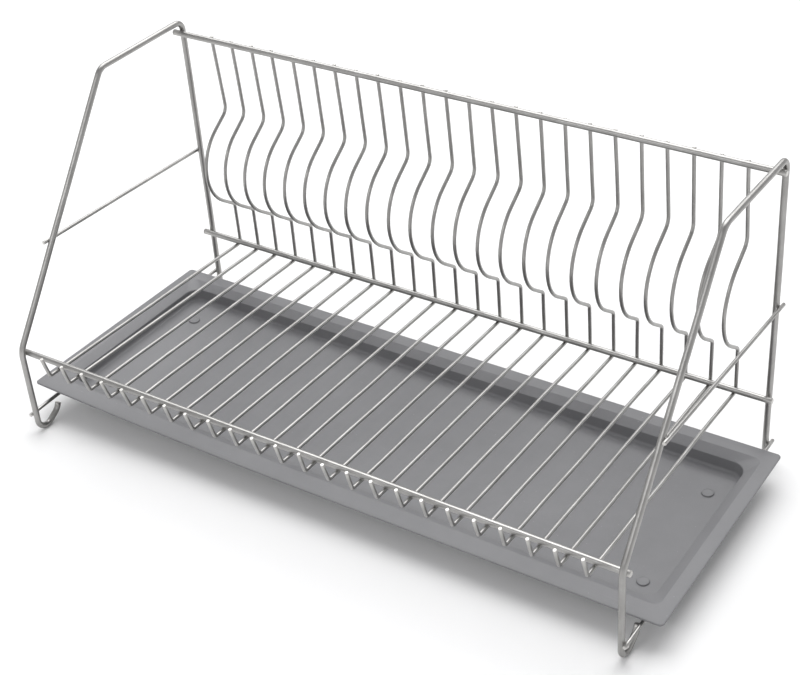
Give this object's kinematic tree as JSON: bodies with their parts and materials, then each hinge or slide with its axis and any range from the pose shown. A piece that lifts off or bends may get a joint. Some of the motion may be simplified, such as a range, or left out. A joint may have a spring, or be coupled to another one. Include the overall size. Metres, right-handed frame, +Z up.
{
  "type": "dish drying rack",
  "caption": "Wire dish drying rack: bent side frames, straight rails, a row of bent plate wires and a lift-out drip tray below.",
  "frame": {"origin": "on the worktop under the middle of the whole rack", "axes": "+X to the right along the rails, +Y from the front legs to the back posts, +Z up"},
  "size_m": [0.692, 0.32, 0.3269],
  "materials": {
    "steel_wire": "satin silver-grey wire with small welds at the crossings",
    "tray_plastic": "matte mid-grey moulded plastic"
  },
  "bodies": {
    "rack": {"left_side_frame": "steel_wire", "right_side_frame": "steel_wire", "top_rail": "steel_wire", "lower_rail": "steel_wire", "front_rail": "steel_wire", "left_mid_brace": "steel_wire", "right_mid_brace": "steel_wire", "left_tray_support": "steel_wire", "right_tray_support": "steel_wire", "plate_wire_01": "steel_wire", "plate_wire_02": "steel_wire", "plate_wire_03": "steel_wire", "plate_wire_04": "steel_wire", "plate_wire_05": "steel_wire", "plate_wire_06": "steel_wire", "plate_wire_07": "steel_wire", "plate_wire_08": "steel_wire", "plate_wire_09": "steel_wire", "plate_wire_10": "steel_wire", "plate_wire_11": "steel_wire", "plate_wire_12": "steel_wire", "plate_wire_13": "steel_wire", "plate_wire_14": "steel_wire", "plate_wire_15": "steel_wire", "plate_wire_16": "steel_wire", "plate_wire_17": "steel_wire", "plate_wire_18": "steel_wire", "plate_wire_19": "steel_wire", "plate_wire_20": "steel_wire", "plate_wire_21": "steel_wire", "plate_wire_22": "steel_wire", "plate_wire_23": "steel_wire", "plate_wire_24": "steel_wire"},
    "tray": {"drip_tray": "tray_plastic"}
  },
  "joints": [
    {"name": "tray_lift", "type": "slide", "parent": "rack", "child": "tray", "axis": [0, 0, 1], "range_m": [0, 0.04]}
  ]
}
